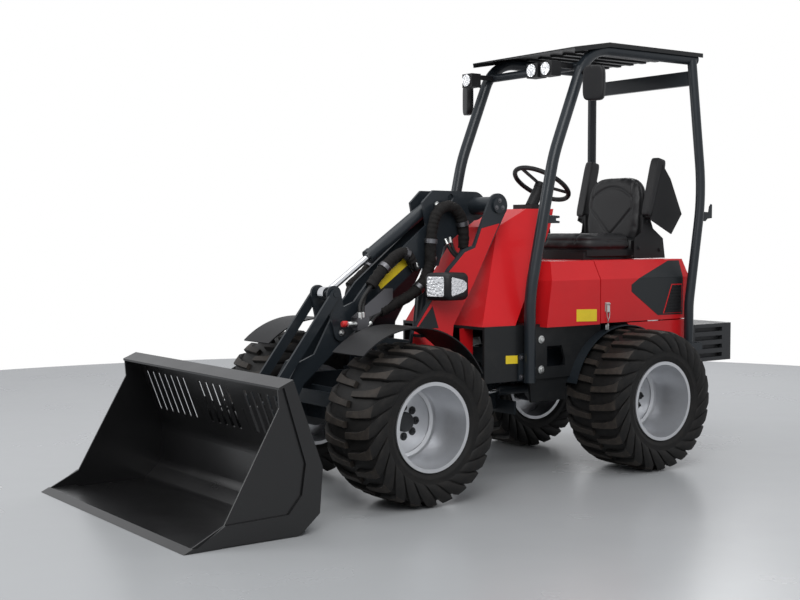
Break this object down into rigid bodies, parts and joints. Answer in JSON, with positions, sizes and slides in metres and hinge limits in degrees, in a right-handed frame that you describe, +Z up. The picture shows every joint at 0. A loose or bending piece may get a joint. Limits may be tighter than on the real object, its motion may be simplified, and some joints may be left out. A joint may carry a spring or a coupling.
{
  "type": "wheel loader",
  "caption": "Compact articulated wheel loader with a knee boom, slotted bucket, leaning leg shield, seat on the engine hood and a bent-tube canopy.",
  "frame": {"origin": "on the floor, under the middle of the machine's overall box", "axes": "+X forward to the bucket, +Y to the operator's left, +Z up"},
  "size_m": [3.719, 1.535, 2.263],
  "materials": {
    "red_paint": "gloss paint",
    "grey_paint": "satin paint",
    "black_paint": "satin paint",
    "silver_paint": "satin paint",
    "cast_metal": "painted casting",
    "chrome": "polished",
    "tyre": "matte rubber",
    "black_plastic": "matte",
    "seat_vinyl": "grained vinyl",
    "rubber": "matte"
  },
  "bodies": {
    "rear_frame": {"rear_chassis": "grey_paint", "rear_axle": "grey_paint", "platform": "grey_paint", "rear_fenders": "grey_paint", "quarter_panels": "red_paint", "console": "red_paint", "steering_column": "black_plastic", "pedals": "grey_paint", "engine": "cast_metal", "counterweight": "cast_metal", "tow_hitch": "grey_paint", "hood_hinges": "grey_paint", "canopy_hoop_left": "grey_paint", "canopy_hoop_right": "grey_paint", "canopy_rear_posts": "grey_paint", "canopy_cross_bar": "grey_paint", "roof": "black_paint", "work_lights": "black_plastic", "mirrors": "black_plastic", "front_guards": "red_paint", "seat_box": "red_paint"},
    "hood": {"hood": "red_paint", "seat_base": "grey_paint", "seat_cushion": "seat_vinyl", "seat_back": "seat_vinyl", "armrests": "seat_vinyl", "control_box": "black_plastic"},
    "front_frame": {"front_chassis": "grey_paint", "front_axle": "grey_paint", "tower": "grey_paint", "front_fenders": "black_plastic", "headlamps": "black_plastic"},
    "boom": {"boom": "grey_paint", "boom_hoses": "rubber", "hydraulic_block": "grey_paint"},
    "bucket": {"coupler": "black_paint", "bucket": "black_paint"},
    "tilt_lever": {"tilt_lever": "grey_paint"},
    "tilt_link": {"tilt_link": "grey_paint"},
    "lift_barrel": {"lift_barrel": "grey_paint"},
    "lift_rod": {"lift_rod": "chrome"},
    "tilt_barrel": {"tilt_barrel": "grey_paint"},
    "tilt_rod": {"tilt_rod": "chrome"},
    "steering_wheel": {"steering_wheel": "black_plastic"},
    "steer_barrel_left": {"steer_barrel_left": "grey_paint"},
    "steer_rod_left": {"steer_rod_left": "chrome"},
    "steer_barrel_right": {"steer_barrel_right": "grey_paint"},
    "steer_rod_right": {"steer_rod_right": "chrome"},
    "wheel_front_left": {"tyre_front_left": "tyre", "rim_front_left": "silver_paint"},
    "wheel_front_right": {"tyre_front_right": "tyre", "rim_front_right": "silver_paint"},
    "wheel_rear_left": {"tyre_rear_left": "tyre", "rim_rear_left": "silver_paint"},
    "wheel_rear_right": {"tyre_rear_right": "tyre", "rim_rear_right": "silver_paint"}
  },
  "joints": [
    {"name": "articulation", "type": "hinge", "parent": "rear_frame", "child": "front_frame", "pos_m": [-0.2175, 0, 0.43], "axis": [0, 0, 1], "range_deg": [-40, 40]},
    {"name": "hood_tilt", "type": "hinge", "parent": "rear_frame", "child": "hood", "pos_m": [-1.5085, 0, 0.792], "axis": [0, -1, 0], "range_deg": [0, 45]},
    {"name": "boom_lift", "type": "hinge", "parent": "front_frame", "child": "boom", "pos_m": [-0.1975, 0, 1.4], "axis": [0, -1, 0], "range_deg": [0, 70]},
    {"name": "bucket_tilt", "type": "hinge", "parent": "boom", "child": "bucket", "pos_m": [1.0675, 0, 0.24], "axis": [0, 1, 0], "range_deg": [-30, 105]},
    {"name": "lever_swing", "type": "hinge", "parent": "boom", "child": "tilt_lever", "pos_m": [0.6575, 0, 0.775], "axis": [0, 1, 0], "range_deg": [-30.5, 105.5]},
    {"name": "link_swing", "type": "hinge", "parent": "tilt_lever", "child": "tilt_link", "pos_m": [0.6975, 0, 0.965], "axis": [0, 1, 0], "range_deg": [-105.5, 30.5]},
    {"name": "lift_barrel_swing", "type": "hinge", "parent": "front_frame", "child": "lift_barrel", "pos_m": [0.1525, 0, 0.47], "axis": [0, -1, 0], "range_deg": [-11.84, 0.5]},
    {"name": "lift_rod_slide", "type": "slide", "parent": "lift_barrel", "child": "lift_rod", "axis": [-0.1129, 0, 0.9936], "range_m": [-0.001, 0.42284]},
    {"name": "tilt_barrel_swing", "type": "hinge", "parent": "boom", "child": "tilt_barrel", "pos_m": [0.0575, 0, 1.405], "axis": [0, 1, 0], "range_deg": [-1.82, 5.11]},
    {"name": "tilt_rod_slide", "type": "slide", "parent": "tilt_barrel", "child": "tilt_rod", "axis": [0.824, 0, -0.5665], "range_m": [-0.09006, 0.3127]},
    {"name": "steering_wheel_turn", "type": "hinge", "parent": "rear_frame", "child": "steering_wheel", "pos_m": [-0.7145, 0, 1.512], "axis": [-0.5299, 0, 0.848], "continuous": true},
    {"name": "steer_barrel_swing_left", "type": "hinge", "parent": "rear_frame", "child": "steer_barrel_left", "pos_m": [-0.5475, 0.15, 0.43], "axis": [0, 0, 1], "range_deg": [-10.64, 10.64]},
    {"name": "steer_rod_slide_left", "type": "slide", "parent": "steer_barrel_left", "child": "steer_rod_left", "axis": [1, 0, 0], "range_m": [-0.1035, 0.1035]},
    {"name": "steer_barrel_swing_right", "type": "hinge", "parent": "rear_frame", "child": "steer_barrel_right", "pos_m": [-0.5475, -0.15, 0.43], "axis": [0, 0, 1], "range_deg": [-10.64, 10.64]},
    {"name": "steer_rod_slide_right", "type": "slide", "parent": "steer_barrel_right", "child": "steer_rod_right", "axis": [1, 0, 0], "range_m": [-0.1035, 0.1035]},
    {"name": "wheel_turn_front_left", "type": "hinge", "parent": "front_frame", "child": "wheel_front_left", "pos_m": [0.5475, 0.492, 0.372], "axis": [0, 1, 0], "continuous": true},
    {"name": "wheel_turn_front_right", "type": "hinge", "parent": "front_frame", "child": "wheel_front_right", "pos_m": [0.5475, -0.492, 0.372], "axis": [0, 1, 0], "continuous": true},
    {"name": "wheel_turn_rear_left", "type": "hinge", "parent": "rear_frame", "child": "wheel_rear_left", "pos_m": [-0.9825, 0.492, 0.372], "axis": [0, 1, 0], "continuous": true},
    {"name": "wheel_turn_rear_right", "type": "hinge", "parent": "rear_frame", "child": "wheel_rear_right", "pos_m": [-0.9825, -0.492, 0.372], "axis": [0, 1, 0], "continuous": true}
  ],
  "couplings": [
    {"joint": "lever_swing", "follows": "bucket_tilt", "ratio": 1},
    {"joint": "link_swing", "follows": "bucket_tilt", "ratio": -1},
    {"joint": "lift_barrel_swing", "follows": "boom_lift", "ratio": -0.16206},
    {"joint": "lift_rod_slide", "follows": "boom_lift", "m_per_rad": 0.34528},
    {"joint": "tilt_barrel_swing", "follows": "bucket_tilt", "ratio": 0.043876},
    {"joint": "tilt_rod_slide", "follows": "bucket_tilt", "m_per_rad": 0.17009},
    {"joint": "steer_barrel_swing_left", "follows": "articulation", "ratio": 0.25349},
    {"joint": "steer_rod_slide_left", "follows": "articulation", "m_per_rad": -0.14682},
    {"joint": "steer_barrel_swing_right", "follows": "articulation", "ratio": 0.25349},
    {"joint": "steer_rod_slide_right", "follows": "articulation", "m_per_rad": 0.14682}
  ]
}
